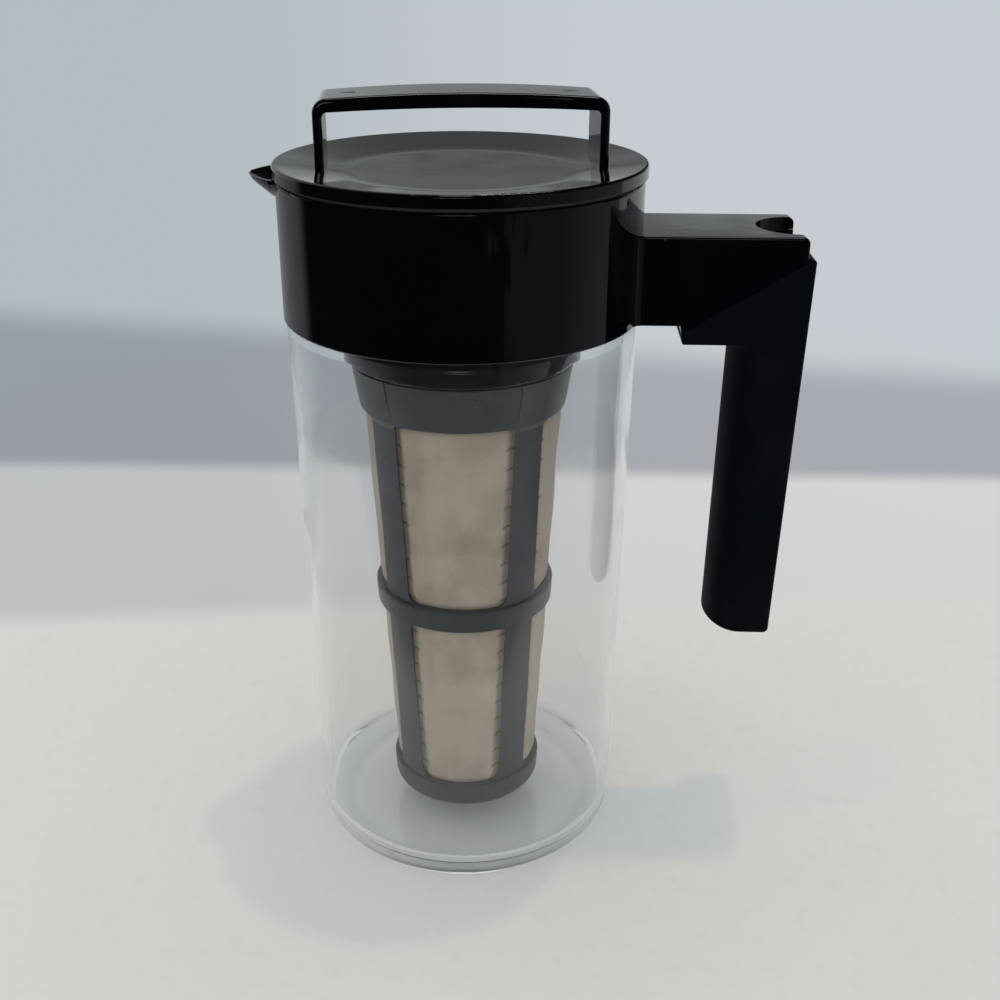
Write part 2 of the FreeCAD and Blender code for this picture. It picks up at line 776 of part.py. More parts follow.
def filter_shell():
    """Tapered tube with the screw spigot, top band, middle ring and closed cup, uncut."""
    floor = cup_bottom + cup_floor
    slope_foot = window_top - band_shoulder
    ring_outer_low = rib_radius(mid_ring_bottom) + mid_ring_proud
    ring_outer_high = rib_radius(mid_ring_top) + mid_ring_proud
    return revolved([
        (0, cup_bottom),
        (rib_radius(cup_bottom) + cup_proud, cup_bottom, cup_corner_radius),
        (rib_radius(cup_top) + cup_proud, cup_top, cup_rim_rounding),
        (rib_radius(cup_top), cup_top),
        (rib_radius(mid_ring_bottom), mid_ring_bottom),
        (ring_outer_low, mid_ring_bottom, mid_ring_rounding),
        (ring_outer_high, mid_ring_top, mid_ring_rounding),
        (rib_radius(mid_ring_top), mid_ring_top),
        (rib_radius(slope_foot), slope_foot),
        (band_bottom_radius, window_top, band_low_rounding),
        (band_top_radius, band_top, band_top_rounding),
        (spigot_radius, band_top),
        (spigot_radius, spigot_top),
        (filter_bore(spigot_top), spigot_top),
        (filter_bore(floor), floor, cup_inside_rounding),
        (0, floor),
    ])


def band_ribs():
    """The four ribs carried up over the top band as low pads."""
    pads = revolved([
        (rib_top_radius, window_top),
        (band_bottom_radius + rib_relief, window_top + band_shoulder),
        (band_top_radius + rib_relief, band_top),
        (rib_top_radius, band_top),
    ])
    reach = band_top_radius + rib_relief + cut_margin
    bars = box(-reach, reach, -rib_width / 2, rib_width / 2, window_top, band_top)
    cross = bars.fuse(turned(bars, quarter_turn))
    return pads.common(turned(cross, quarter_turn / 2))


def filter_frame():
    """Moulded frame of the filter: four ribs between a screw band, a ring and a cup."""
    frame = filter_shell().fuse(band_ribs())
    for count in range(rib_count):
        for bottom, top in ((cup_top, mid_ring_bottom), (mid_ring_top, window_top)):
            frame = frame.cut(turned(window(bottom, top), count * full_turn / rib_count))
    return turned(frame, -filter_turn_phase)


def filter_mesh():
    """Fine mesh sleeve that lines the frame behind its windows."""
    bottom = cup_top - mesh_overlap
    top = window_top + mesh_overlap
    low = filter_bore(bottom) - mesh_clearance
    high = filter_bore(top) - mesh_clearance
    return revolved([
        (low - mesh_thickness, bottom),
        (low, bottom),
        (high, top),
        (high - mesh_thickness, top),
    ])


# ---- write every piece ----------------------------------------------------------------------
os.makedirs("parts", exist_ok=True)
save(jug_body(), "jug_body")
save(rim_seal(), "rim_seal")
save(collar(), "collar")
save(handle_grip(), "handle_grip")
save(lid_gasket(), "lid_gasket")
save(turned(lid_cap(), lid_rest_turn), "lid_cap")
save(turned(lid_bail(), lid_rest_turn), "lid_bail")
save(turned(lid_plug(), lid_rest_turn), "lid_plug")
save(filter_seal(), "filter_seal")
save(filter_frame(), "filter_frame")
save(filter_mesh(), "filter_mesh")
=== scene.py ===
"""Looks of a cold brew coffee maker: finishes for its pieces, its woven filter sleeve, a pale studio.

Lengths are in metres. Z runs up the jug's axis from the middle of its base, +X points along the
handle's arm and -X along the spout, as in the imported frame.
"""

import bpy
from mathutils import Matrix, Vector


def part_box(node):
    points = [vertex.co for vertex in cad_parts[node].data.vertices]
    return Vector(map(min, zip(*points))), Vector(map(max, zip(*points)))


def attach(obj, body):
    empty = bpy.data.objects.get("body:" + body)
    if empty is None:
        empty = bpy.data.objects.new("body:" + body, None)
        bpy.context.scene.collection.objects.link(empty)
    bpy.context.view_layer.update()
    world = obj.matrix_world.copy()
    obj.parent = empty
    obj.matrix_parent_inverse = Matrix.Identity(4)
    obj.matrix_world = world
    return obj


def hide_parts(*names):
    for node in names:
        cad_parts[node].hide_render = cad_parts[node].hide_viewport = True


bl_info = {
    "name": "Cold Brew Coffee Maker Looks",
    "version": (1, 0, 0),
    "blender": (4, 5, 0),
    "location": "3D View > Sidebar > Coffee Maker",
    "description": "Finishes, a woven filter sleeve and a studio for a cold brew coffee maker",
    "category": "Object",
}

import math

import bmesh
import bpy
from bpy.props import FloatProperty, FloatVectorProperty, PointerProperty
from mathutils import Matrix, Vector, noise

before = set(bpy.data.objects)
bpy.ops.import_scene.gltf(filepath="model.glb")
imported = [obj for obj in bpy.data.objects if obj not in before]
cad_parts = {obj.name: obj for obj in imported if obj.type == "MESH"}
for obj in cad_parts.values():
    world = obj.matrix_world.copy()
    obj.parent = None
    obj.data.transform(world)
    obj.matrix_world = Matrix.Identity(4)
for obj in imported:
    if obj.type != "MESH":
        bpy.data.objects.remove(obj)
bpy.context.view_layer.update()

MM = 0.001
UP = Vector((0, 0, 1))


# ---- shader building ------------------------------------------------------------------------
class Value:
    """A socket in a shader tree. Arithmetic on it adds Math nodes."""

    def __init__(self, shader, socket):
        self.shader = shader
        self.socket = socket

    def math(self, operation, *terms):
        return self.shader.add("ShaderNodeMath", {"operation": operation},
                               dict(enumerate(terms)))

    def __add__(self, other):
        return self.math("ADD", self, other)

    def __radd__(self, other):
        return self.math("ADD", other, self)

    def __sub__(self, other):
        return self.math("SUBTRACT", self, other)

    def __rsub__(self, other):
        return self.math("SUBTRACT", other, self)

    def __mul__(self, other):
        return self.math("MULTIPLY", self, other)

    def __rmul__(self, other):
        return self.math("MULTIPLY", other, self)

    def __truediv__(self, other):
        return self.math("DIVIDE", self, other)

    def __rtruediv__(self, other):
        return self.math("DIVIDE", other, self)

    def __pow__(self, other):
        return self.math("POWER", self, other)

    def __abs__(self):
        return self.math("ABSOLUTE", self)

    def largest(self, other):
        return self.math("MAXIMUM", self, other)

    def above(self, threshold):
        return self.math("GREATER_THAN", self, threshold)

    def ease(self, low, high):
        """0 below low, 1 above high, and a smooth rise between them."""
        return self.shader.add("ShaderNodeMapRange", {"interpolation_type": "SMOOTHSTEP"},
                               {"Value": self, "From Min": low, "From Max": high})

    def output(self, name):
        """Another output of the node that this value comes from."""
        return Value(self.shader, self.socket.node.outputs[name])


class Shader:
    """A node tree that is filled node by node."""

    def __init__(self, tree):
        self.tree = tree
        tree.nodes.clear()

    def add(self, kind, settings=None, inputs=None, output=0):
        """A node of one kind, with its settings, the values or links of its sockets, and one output."""
        node = self.tree.nodes.new(kind)
        for key, setting in (settings or {}).items():
            if key == "stops":
                self.set_stops(node.color_ramp, setting)
            else:
                setattr(node, key, setting)
        for key, value in (inputs or {}).items():
            if isinstance(value, Value):
                self.tree.links.new(value.socket, node.inputs[key])
            else:
                node.inputs[key].default_value = value
        return Value(self, node.outputs[output]) if len(node.outputs) else None

    def set_stops(self, ramp, stops):
        while len(ramp.elements) < len(stops):
            ramp.elements.new(1.0)
        for element, (position, colour) in zip(ramp.elements, stops):
            element.position = position
            element.color = colour

    def place(self):
        """Coordinates that stay with the object as it moves."""
        return self.add("ShaderNodeTexCoord", output="Object")

    def stretched(self, vector, scale):
        return self.add("ShaderNodeMapping", inputs={"Vector": vector, "Scale": scale})

    def grain(self, vector, size, detail=2.0, roughness=0.5):
        """Soft noise from 0 to 1 whose grains are about as wide as size."""
        return self.add("ShaderNodeTexNoise",
                        inputs={"Vector": vector, "Scale": 1 / size, "Detail": detail,
                                "Roughness": roughness})

    def cells(self, vector, size):
        """Distance to the nearest cell point, in cells."""
        return self.add("ShaderNodeTexVoronoi", inputs={"Vector": vector, "Scale": 1 / size})

    def mix(self, factor, first, second):
        """Colour that goes from first to second."""
        return self.add("ShaderNodeMix", {"data_type": "RGBA"}, {0: factor, 6: first, 7: second}, 2)

    def bump(self, height, depth):
        """Normal for a height from 0 to 1 that stands for a depth in metres."""
        return self.add("ShaderNodeBump", inputs={"Height": height, "Distance": depth})

    def finish(self, surface):
        self.add("ShaderNodeOutputMaterial", inputs={"Surface": surface})


def new_material(name):
    material = bpy.data.materials.new(name)
    material.use_nodes = True
    return material, Shader(material.node_tree)


def dust(shader, place, spacing, radius, share):
    """Mask of sparse round specks: share of the cells hold one."""
    near_point = shader.cells(place, spacing)
    chosen = near_point.output("Color")
    lot = shader.add("ShaderNodeSeparateColor", inputs={"Color": chosen})
    return (1 - near_point.ease(0.6 * radius / spacing, radius / spacing)) * (1 - lot.above(share))


def mirror_rays(shader):
    """1 for rays that a polished face has reflected, and 0 for those only passed by clear plastic."""
    rays = shader.add("ShaderNodeLightPath", output="Is Glossy Ray")
    return rays * rays.output("Glossy Depth").above(0.5)


def set_finish(node, material):
    """Gives a carried-over CAD node one material all over."""
    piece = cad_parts[node]
    piece.data.materials.clear()
    piece.data.materials.append(material)


# ---- settings -------------------------------------------------------------------------------
def colour_property(name, description, default):
    return FloatVectorProperty(name=name, description=description, default=default,
                               subtype="COLOR", size=4, min=0, max=1)


class ClearPlasticSettings(bpy.types.PropertyGroup):
    tint: colour_property("Tint", "Colour of the clear jug", (0.914, 0.924, 0.925, 1))
    # thick tint: partly the thick plastic's own tint, partly painted shade where the base bends up into
    # the wall
    thick_tint_and_painted_shade: colour_property("Thick tint", "Colour where the base runs into the wall",
                                (0.8, 0.83, 0.845, 1))
    roughness: FloatProperty(name="Roughness", description="Roughness of the polished wall",
                             default=0.012, min=0, max=1)
    density: FloatProperty(name="Refraction", description="Refractive index of the plastic",
                           default=1.5, min=1, max=2)
    wave_depth: FloatProperty(name="Wave depth", description="Depth of the wall's slow waves",
                              default=0.6 * MM, subtype="DISTANCE", unit="LENGTH")
    wave_size: FloatProperty(name="Wave size", description="Width of the wall's slow waves",
                             default=30 * MM, subtype="DISTANCE", unit="LENGTH")
    clearness: FloatProperty(name="Clearness", description="Share of the light that passes a wall",
                             default=0.93, min=0, max=1)


class GlossPlasticSettings(bpy.types.PropertyGroup):
    colour: colour_property("Colour", "Colour of the polished mouldings", (0.0008, 0.0012, 0.002, 1))
    dust_colour: colour_property("Dust", "Colour of the specks of dust", (0.35, 0.35, 0.36, 1))
    roughness: FloatProperty(name="Roughness", description="Roughness of the polished mouldings",
                             default=0.05, min=0, max=1)
    smudge: FloatProperty(name="Smudges", description="Added roughness where hands have been",
                          default=0.09, min=0, max=1)
    ripple_depth: FloatProperty(name="Ripple", description="Depth of the faint ripple",
                                default=0.02 * MM, subtype="DISTANCE", unit="LENGTH")


class GripSettings(bpy.types.PropertyGroup):
    colour: colour_property("Colour", "Colour of the soft grip", (0.0022, 0.0035, 0.0062, 1))
    worn_colour: colour_property("Worn colour", "Colour where the grip is rubbed",
                                 (0.0045, 0.0055, 0.0075, 1))
    roughness: FloatProperty(name="Roughness", description="Roughness of the soft grip",
                             default=0.52, min=0, max=1)
    grain_size: FloatProperty(name="Grain size", description="Width of the moulded grain",
                              default=0.7 * MM, subtype="DISTANCE", unit="LENGTH")
    grain_depth: FloatProperty(name="Grain depth", description="Depth of the moulded grain",
                               default=0.03 * MM, subtype="DISTANCE", unit="LENGTH")


class SealSettings(bpy.types.PropertyGroup):
    colour: colour_property("Colour", "Colour of the silicone seals", (0.03, 0.03, 0.032, 1))
    roughness: FloatProperty(name="Roughness", description="Roughness of the silicone",
                             default=0.45, min=0, max=1)


class FilterSettings(bpy.types.PropertyGroup):
    frame_colour: colour_property("Frame", "Colour of the filter's frame", (0.053, 0.058, 0.062, 1))
    frame_roughness: FloatProperty(name="Frame roughness", description="Roughness of the frame",
                                   default=0.34, min=0, max=1)
    mesh_colour: colour_property("Mesh", "Colour of the woven mesh", (0.59, 0.5, 0.385, 1))
    stain_colour: colour_property("Stain", "Colour of the coffee stains", (0.42, 0.34, 0.25, 1))
    mesh_cover: FloatProperty(name="Cover", description="Share of a mesh face that threads cover",
                              default=0.55, min=0, max=1)
    thread_pitch: FloatProperty(name="Thread pitch", description="Distance between two threads",
                                default=0.5 * MM, subtype="DISTANCE", unit="LENGTH")
    window_bulge: FloatProperty(name="Bulge", description="How far the mesh swells in a window",
                                default=1.9 * MM, subtype="DISTANCE", unit="LENGTH")
    pucker_depth: FloatProperty(name="Pucker depth", description="Depth of the creases at the edges",
                                default=0.4 * MM, subtype="DISTANCE", unit="LENGTH")
    pucker_pitch: FloatProperty(name="Pucker pitch", description="Distance between two creases",
                                default=7.3 * MM, subtype="DISTANCE", unit="LENGTH")


class BailArrowSettings(bpy.types.PropertyGroup):
    place: FloatProperty(name="Place", description="Distance of the arrows from the bail's middle",
                         default=35.5 * MM, subtype="DISTANCE", unit="LENGTH")
    length: FloatProperty(name="Length", description="Length of an arrow",
                          default=5 * MM, subtype="DISTANCE", unit="LENGTH")
    half_width: FloatProperty(name="Half width", description="Half the width of an arrow",
                              default=2.7 * MM, subtype="DISTANCE", unit="LENGTH")
    rise: FloatProperty(name="Rise", description="How far an arrow stands out",
                        default=0.08 * MM, subtype="DISTANCE", unit="LENGTH")


class StudioSettings(bpy.types.PropertyGroup):
    floor_colour: colour_property("Floor", "Colour of the pale floor", (0.712, 0.704, 0.693, 1))
    wall_colour: colour_property("Wall", "Colour behind the object", (0.68, 0.69, 0.70, 1))
    shade_colour: colour_property("Shade", "Colour of the soft band behind", (0.392, 0.413, 0.451, 1))
    far_colour: colour_property("Far", "Colour above the soft band", (0.57, 0.605, 0.64, 1))
    # painted shade on the backdrop, darker to the left
    left_shade_tint: colour_property("Left tint", "How the backdrop darkens to the left",
                               (0.80, 0.82, 0.835, 1))
    room_light: FloatProperty(name="Room light", description="Light from all round",
                              default=0.905, min=0, max=2)
    lamp_power: FloatProperty(name="Lamp", description="Power of the soft lamp above",
                              default=9.2, min=0, subtype="POWER", unit="POWER")
    lamp_colour: colour_property("Lamp colour", "Colour of the lamps", (1.0, 0.6, 0.35, 1))
    room_colour: colour_property("Room colour", "Colour of the light from all round",
                                 (0.92, 0.977, 1.0, 1))
    camera_place: FloatVectorProperty(name="Camera", description="Where the camera stands",
                                      default=(0.02728, -0.42185, 0.31988), size=3,
                                      subtype="TRANSLATION", unit="LENGTH")
    camera_look: FloatVectorProperty(name="Look", description="Direction in which it looks",
                                     default=(-0.0306, 0.9097, -0.4142), size=3,
                                     subtype="DIRECTION")
    camera_roll: FloatProperty(name="Roll", description="Turn of the camera about its own axis",
                               default=0.003, subtype="ANGLE", unit="ROTATION")
    focal_length: FloatProperty(name="Focal length", description="Lens, in millimetres",
                                default=45.76, min=1)


class CoffeeMakerSettings(bpy.types.PropertyGroup):
    jug: PointerProperty(type=ClearPlasticSettings)
    gloss: PointerProperty(type=GlossPlasticSettings)
    grip: PointerProperty(type=GripSettings)
    seals: PointerProperty(type=SealSettings)
    filter: PointerProperty(type=FilterSettings)
    arrows: PointerProperty(type=BailArrowSettings)
    studio: PointerProperty(type=StudioSettings)


def settings():
    return bpy.context.scene.coffee_maker


# ---- finishes -------------------------------------------------------------------------------
WAVE_STRETCH = (1, 1, 0.55)             # the jug's waves run upwards
SCUFF_STRETCH = (1, 1, 0.12)
SCUFF_WIDTH = 0.5 * MM
SCUFF_PATCH = 30 * MM
BASE_BEND = (43 * MM, 47 * MM)          # radii between which the base bends up into the wall
BASE_TOP = (6 * MM, 13 * MM)            # levels between which the thick corner thins out
SMUDGE_SIZE = 22 * MM
RIPPLE_SIZE = 9 * MM
RUBBED_SIZE = 26 * MM
DUST_ON_GRIP = (0.3, 0.3, 0.31, 1)
BLOOM_SIZE = 6 * MM
BLOOM_DEPTH = 0.02 * MM
BLOOM_COLOUR = (0.05, 0.05, 0.053, 1)
MOTTLE_SIZE = 14 * MM
MOTTLE_DEPTH = 0.02 * MM
MOTTLE_COLOUR = (0.044, 0.048, 0.052, 1)
SCRATCH_STRETCH = (1, 1, 0.1)
SCRATCH_WIDTH = 0.35 * MM
SCRATCH_PATCH = 16 * MM
SCRATCH_COLOUR = (0.2, 0.21, 0.22, 1)
LOW_DARKENING_LEVELS = (20 * MM, 130 * MM)     # the filter's frame darkens from the upper to the lower
LOW_DARK_COLOUR = (0.018, 0.02, 0.022, 1)
STAIN_SIZE = 17 * MM
CLOUD_SIZE = 5 * MM
CLOUD_COLOUR = (0.66, 0.6, 0.5, 1)
# colour of the painted shade in the mesh's creases
CREASE_SHADE_COLOUR = (0.03, 0.03, 0.03, 1)
CREASE_SHADE_LENGTH = (1.4 * MM, 3 * MM)      # how far from a window's side the painted shade of a crease fades out
CREASE_SHADE_SHARPNESS = 24
THREAD_DEPTH = 0.05 * MM


def clear_plastic(look):
    """Polished clear plastic with slow waves in its wall, a few fine scuffs, and a darker tint at the
    base's bend that is partly the thick plastic's own tint and partly painted shade.
    """
    material, shader = new_material("clear_plastic")
    place = shader.place()
    waves = shader.grain(shader.stretched(place, WAVE_STRETCH), look.wave_size, detail=1)
    scuffs = shader.grain(shader.stretched(place, SCUFF_STRETCH), SCUFF_WIDTH, detail=3)
    scuff_field = shader.grain(place, SCUFF_PATCH)
    scuffed = scuffs.ease(0.66, 0.8) * scuff_field.ease(0.5, 0.75)
    rays = shader.add("ShaderNodeLightPath", output="Is Shadow Ray")
    passing = look.clearness * rays.largest(rays.output("Is Diffuse Ray"))
    trapped = rays.output("Glossy Depth").above(1.5)
    axes = shader.add("ShaderNodeSeparateXYZ", inputs={"Vector": place}, output="X")
    radius = ((axes * axes) + (axes.output("Y") * axes.output("Y"))) ** 0.5
    # darker tint at the base's bend: partly the thick plastic's own tint, partly painted shade
    bend_tint_and_shade = radius.ease(*BASE_BEND) * (1 - axes.output("Z").ease(*BASE_TOP))
    surface = shader.add("ShaderNodeBsdfPrincipled", inputs={
        "Base Color": shader.mix(bend_tint_and_shade, look.tint, look.thick_tint_and_painted_shade),
        "Roughness": look.roughness + 0.25 * scuffed,
        "IOR": look.density,
        "Transmission Weight": 1.0,
        "Alpha": 1 - passing.largest(trapped),
        "Normal": shader.bump(waves, look.wave_depth),
    })
    shader.finish(surface)
    return material


def gloss_plastic(look):
    """Polished black plastic with smudges, a faint ripple and a little dust."""
    material, shader = new_material("black_gloss")
    place = shader.place()
    smudges = shader.grain(place, SMUDGE_SIZE, detail=4).ease(0.45, 0.75)
    ripple = shader.grain(place, RIPPLE_SIZE, detail=1)
    specks = dust(shader, place, spacing=6 * MM, radius=0.16 * MM, share=0.06)
    surface = shader.add("ShaderNodeBsdfPrincipled", inputs={
        "Base Color": shader.mix(specks, look.colour, look.dust_colour),
        "Roughness": look.roughness + look.smudge * smudges + 0.5 * specks,
        "IOR": 1.5,
        "Normal": shader.bump(ripple, look.ripple_depth),
    })
    shader.finish(surface)
    return material


def soft_grip(look):
    """Matt soft-touch plastic with a fine moulded grain, slightly rubbed."""
    material, shader = new_material("soft_black")
    place = shader.place()
    rubbed = shader.grain(place, RUBBED_SIZE, detail=3).ease(0.4, 0.8)
    grain = shader.grain(place, look.grain_size, detail=2)
    specks = dust(shader, place, spacing=5 * MM, radius=0.14 * MM, share=0.08)
    colour = shader.mix(rubbed, look.colour, look.worn_colour)
    surface = shader.add("ShaderNodeBsdfPrincipled", inputs={
        "Base Color": shader.mix(specks, colour, DUST_ON_GRIP),
        "Roughness": look.roughness - 0.08 * rubbed,
        "IOR": 1.2,
        "Specular IOR Level": 0.1,
        "Normal": shader.bump(grain, look.grain_depth),
    })
    shader.finish(surface)
    return material


def silicone(look):
    """Dark silicone with a faint bloom."""
    material, shader = new_material("seal_black")
    place = shader.place()
    bloom = shader.grain(place, BLOOM_SIZE, detail=4)
    surface = shader.add("ShaderNodeBsdfPrincipled", inputs={
        "Base Color": shader.mix(bloom, look.colour, BLOOM_COLOUR),
        "Roughness": look.roughness + 0.15 * bloom,
        "IOR": 1.41,
        "Normal": shader.bump(bloom, BLOOM_DEPTH),
    })
    shader.finish(surface)
    return material


def filter_plastic(look):
    """Satin grey plastic with light scratches, darker towards its foot."""
    material, shader = new_material("filter_grey")
    place = shader.place()
    mottle = shader.grain(place, MOTTLE_SIZE, detail=4)
    scratches = shader.grain(shader.stretched(place, SCRATCH_STRETCH), SCRATCH_WIDTH, detail=2)
    field = shader.grain(place, SCRATCH_PATCH)
    scratched = scratches.ease(0.64, 0.76) * field.ease(0.5, 0.7)
    up = shader.add("ShaderNodeSeparateXYZ", inputs={"Vector": place}, output="Z")
    dark = shader.mix(mottle.ease(0.35, 0.7), look.frame_colour, MOTTLE_COLOUR)
    # the frame's colour darkens towards its foot
    dark = shader.mix(1 - up.ease(*LOW_DARKENING_LEVELS), dark, LOW_DARK_COLOUR)
    surface = shader.add("ShaderNodeBsdfPrincipled", inputs={
        "Base Color": shader.mix(scratched, dark, SCRATCH_COLOUR),
        "Roughness": look.frame_roughness + 0.12 * mottle,
        "IOR": 1.49,
        "Normal": shader.bump(scratches * 0.3 + mottle, MOTTLE_DEPTH),
    })
    shader.finish(surface)
    return material


def crease_shade_ticks(shader, look, axes, wander):
    """Mask of the painted shade in the short creases that start from the sides of the windows."""
    across, along, up = axes, axes.output("Y"), axes.output("Z")
    radius = ((across * across) + (along * along)) ** 0.5
    turn = along.math("ARCTAN2", along, across) + (2 * math.pi - FRAME_TURN)
    sector = 2 * math.pi / RIB_COUNT
    turn = turn.math("MODULO", turn + sector / 2, sector) - sector / 2
    side = radius * abs(turn) - RIB_HALF_WIDTH
    phase = (up + 2 * MM * wander) * (2 * math.pi / look.pucker_pitch)
    thin = (0.5 + 0.5 * phase.math("COSINE", phase)) ** CREASE_SHADE_SHARPNESS
    return thin * (1 - side.ease(*CREASE_SHADE_LENGTH)) * wander.ease(0.35, 0.45)


def woven_mesh(look, radius):
    """Fine nylon weave: threads round and along the sleeve, open between them, with stains and painted
    shade in the short creases at the windows' sides.
    """
    material, shader = new_material("nylon_mesh")
    place = shader.place()
    axes = shader.add("ShaderNodeSeparateXYZ", inputs={"Vector": place}, output="X")
    round_way = axes.math("ARCTAN2", axes.output("Y"), axes) * (radius * 2 * math.pi / look.thread_pitch)
    long_way = axes.output("Z") * (2 * math.pi / look.thread_pitch)
    warp = 0.5 + 0.5 * round_way.math("SINE", round_way)
    weft = 0.5 + 0.5 * long_way.math("SINE", long_way)
    threads = warp.largest(weft)
    stains = shader.grain(place, STAIN_SIZE, detail=3).ease(0.45, 0.62)
    cloudy = shader.grain(place, CLOUD_SIZE, detail=3)
    colour = shader.mix(stains * 0.65, look.mesh_colour, look.stain_colour)
    crease_shade = crease_shade_ticks(shader, look, axes, cloudy)
    # painted shade: dark ticks where the mesh creases at the windows' sides
    colour = shader.mix(0.75 * crease_shade, colour, CREASE_SHADE_COLOUR)
    surface = shader.add("ShaderNodeBsdfPrincipled", inputs={
        "Base Color": shader.mix(0.35 * cloudy, colour, CLOUD_COLOUR),
        "Roughness": 0.62 + 0.1 * cloudy,
        "IOR": 1.5,
        "Alpha": (look.mesh_cover - 0.15) + 0.2 * threads,
        "Normal": shader.bump(threads, THREAD_DEPTH),
    })
    shader.finish(surface)
    return material


# ---- meshes ---------------------------------------------------------------------------------
def new_piece(name, build, material, smooth_angle=math.radians(35)):
    """Mesh object from a function that fills a bmesh, shaded smooth up to an angle."""
    shape = bmesh.new()
    build(shape)
    bmesh.ops.recalc_face_normals(shape, faces=shape.faces)
    mesh = bpy.data.meshes.new(name)
    shape.to_mesh(mesh)
    shape.free()
    mesh.polygons.foreach_set("use_smooth", [True] * len(mesh.polygons))
    mesh.set_sharp_from_angle(angle=smooth_angle)
    mesh.materials.append(material)
    piece = bpy.data.objects.new(name, mesh)
    bpy.context.scene.collection.objects.link(piece)
    return piece


def closed_tube(shape, radius_at, levels, steps, thickness):
    """Thin sleeve about the Z axis, closed at its ends; radius_at gives the outer radius."""
    def loop(level, inset):
        corners = []
        for step in range(steps):
            angle = 2 * math.pi * step / steps
            radius = radius_at(angle, level) - inset
            corners.append(shape.verts.new((radius * math.cos(angle), radius * math.sin(angle), level)))
        return corners

    loops = [loop(level, 0) for level in levels]
    loops += [loop(level, thickness) for level in reversed(levels)]
    for low, high in zip(loops, loops[1:] + loops[:1]):
        for i in range(steps):
            j = (i + 1) % steps
            shape.faces.new((low[i], low[j], high[j], high[i]))


# ---- filter sleeve --------------------------------------------------------------------------
RIB_COUNT = 4
RIB_HALF_WIDTH = 6.35 * MM
FRAME_TURN = math.radians(45 - 2.3)     # direction of one rib
WINDOW_LEVELS = ((21.5 * MM, 90.8 * MM), (98.9 * MM, 168 * MM))
SLEEVE_THICKNESS = 0.25 * MM
EDGE_REACH = 1.2 * MM                   # how soon the bulge has risen beyond a window's edge
PUCKER_REACH = 3 * MM                   # how far a crease runs in from the edge
PUCKER_WANDER = 0.6                     # how unevenly the creases follow each other, in pitches
SWELL_PATCH = 19 * MM                   # size of the patches where the mesh swells more or less
WANDER_PATCH = 11 * MM
SLEEVE_LEVELS = 150
SLEEVE_STEPS = 256


class SleeveShape:
    """Radius of the mesh sleeve: a cone that swells and puckers inside the frame's windows."""

    def __init__(self, look):
        self.look = look
        low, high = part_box("filter_mesh")
        self.bottom = low.z
        self.top = high.z
        spots = [v.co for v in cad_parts["filter_mesh"].data.vertices]
        self.low_radius = self.widest(spots, self.bottom)
        self.high_radius = self.widest(spots, self.top)

    def widest(self, spots, level):
        return max(math.hypot(p.x, p.y) for p in spots if abs(p.z - level) < 0.1 * MM)

    def cone(self, level):
        share = (level - self.bottom) / (self.top - self.bottom)
        return self.low_radius + (self.high_radius - self.low_radius) * share

    def from_rib(self, angle, radius):
        """Distance along the sleeve from the nearest rib's edge, negative behind the rib."""
        sector = 2 * math.pi / RIB_COUNT
        turn = (angle - FRAME_TURN + sector / 2) % sector - sector / 2
        return radius * abs(math.sin(turn)) - RIB_HALF_WIDTH

    def from_end(self, level):
        """Distance from the nearest window end, negative between the windows."""
        return max(min(level - low, high - level) for low, high in WINDOW_LEVELS)

    def __call__(self, angle, level):
        radius = self.cone(level)
        side = self.from_rib(angle, radius)
        end = self.from_end(level)
        if side <= 0 or end <= 0:
            return radius
        swell = (1 - math.exp(-side / EDGE_REACH)) * (1 - math.exp(-end / EDGE_REACH))
        spot = Vector((radius * math.cos(angle), radius * math.sin(angle), level))
        uneven = 0.86 + 0.28 * noise.noise(spot / SWELL_PATCH)
        wander = PUCKER_WANDER * noise.noise(spot / WANDER_PATCH)
        creases = self.crease(side, level, wander) + self.crease(end, radius * angle, wander)
        return radius + self.look.window_bulge * swell * uneven - self.look.pucker_depth * creases

    def crease(self, inwards, along, wander):
        """Depth share of the creases that start from one edge and follow each other along it."""
        row = 0.5 + 0.5 * math.cos(2 * math.pi * (along / self.look.pucker_pitch + wander))
        return row ** 3 * math.exp(-inwards / PUCKER_REACH) * min(1, inwards / MM)


# ---- operators ------------------------------------------------------------------------------
LID_REST_TURN = math.radians(6.6)       # how far the lid stands past the line of the spout
BAR_CROWN = 1.5 * MM                    # how much higher the bail's middle is than its corners
BAR_HALF_LENGTH = 42 * MM
ARROW_SLOPE = 0.35 * MM                 # how far an arrow's sides lean in
ARROW_SINK = 0.3 * MM                   # how deep an arrow is rooted in the bar


class FinishJug(bpy.types.Operator):
    """Give the jug its clear polished plastic"""
    bl_idname = "coffee_maker.finish_jug"
    bl_label = "Finish Jug"

    def execute(self, context):
        set_finish("jug_body", clear_plastic(settings().jug))
        return {"FINISHED"}


class FinishMouldings(bpy.types.Operator):
    """Give the collar, the lid's cap and plug and the bail their polished black plastic"""
    bl_idname = "coffee_maker.finish_mouldings"
    bl_label = "Finish Black Mouldings"

    def execute(self, context):
        material = gloss_plastic(settings().gloss)
        for node in ("collar", "lid_cap", "lid_bail", "lid_plug"):
            set_finish(node, material)
        return {"FINISHED"}


